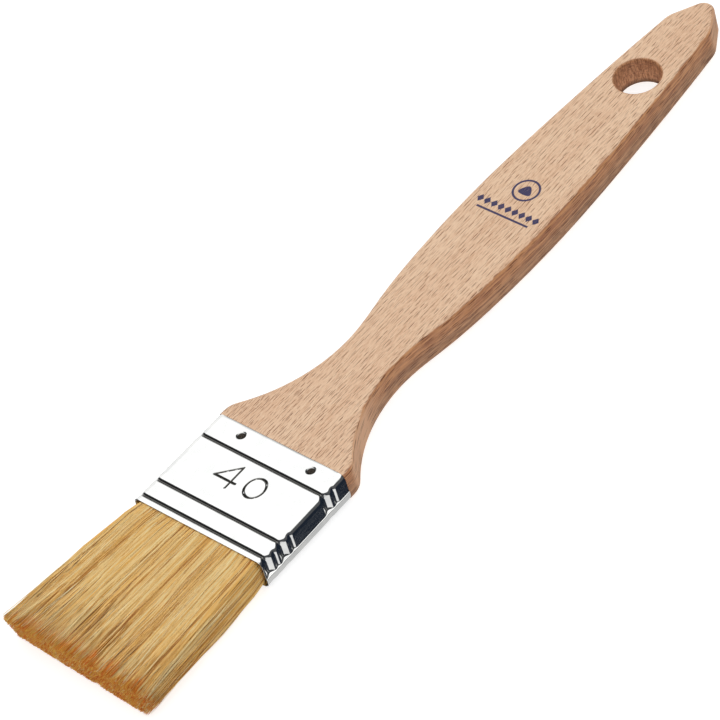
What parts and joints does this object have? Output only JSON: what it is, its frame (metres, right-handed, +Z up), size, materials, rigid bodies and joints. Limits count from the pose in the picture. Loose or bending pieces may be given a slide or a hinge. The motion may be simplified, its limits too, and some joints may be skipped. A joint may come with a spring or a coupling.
{
  "type": "flat paint brush",
  "caption": "Flat brush with a shaped wooden handle, a hang hole, a beaded sheet-metal ferrule and a tuft of natural bristle.",
  "frame": {"origin": "middle of the overall length and width, on the surface that the brush lies on", "axes": "+Y along the handle, away from the bristles; +X across the width; +Z up, out of the front face that carries the size number"},
  "size_m": [0.0508, 0.25, 0.0092],
  "materials": {
    "beech": "satin",
    "plated_sheet": "polished",
    "nail_steel": "satin",
    "resin": "satin",
    "filler_wood": "matte",
    "bristle": "matte"
  },
  "bodies": {
    "root": {"handle": "beech", "ferrule": "plated_sheet", "ferrule_nails": "nail_steel", "resin_set": "resin", "filler_strip": "filler_wood", "bristles_front": "bristle", "bristles_back": "bristle"}
  },
  "joints": []
}
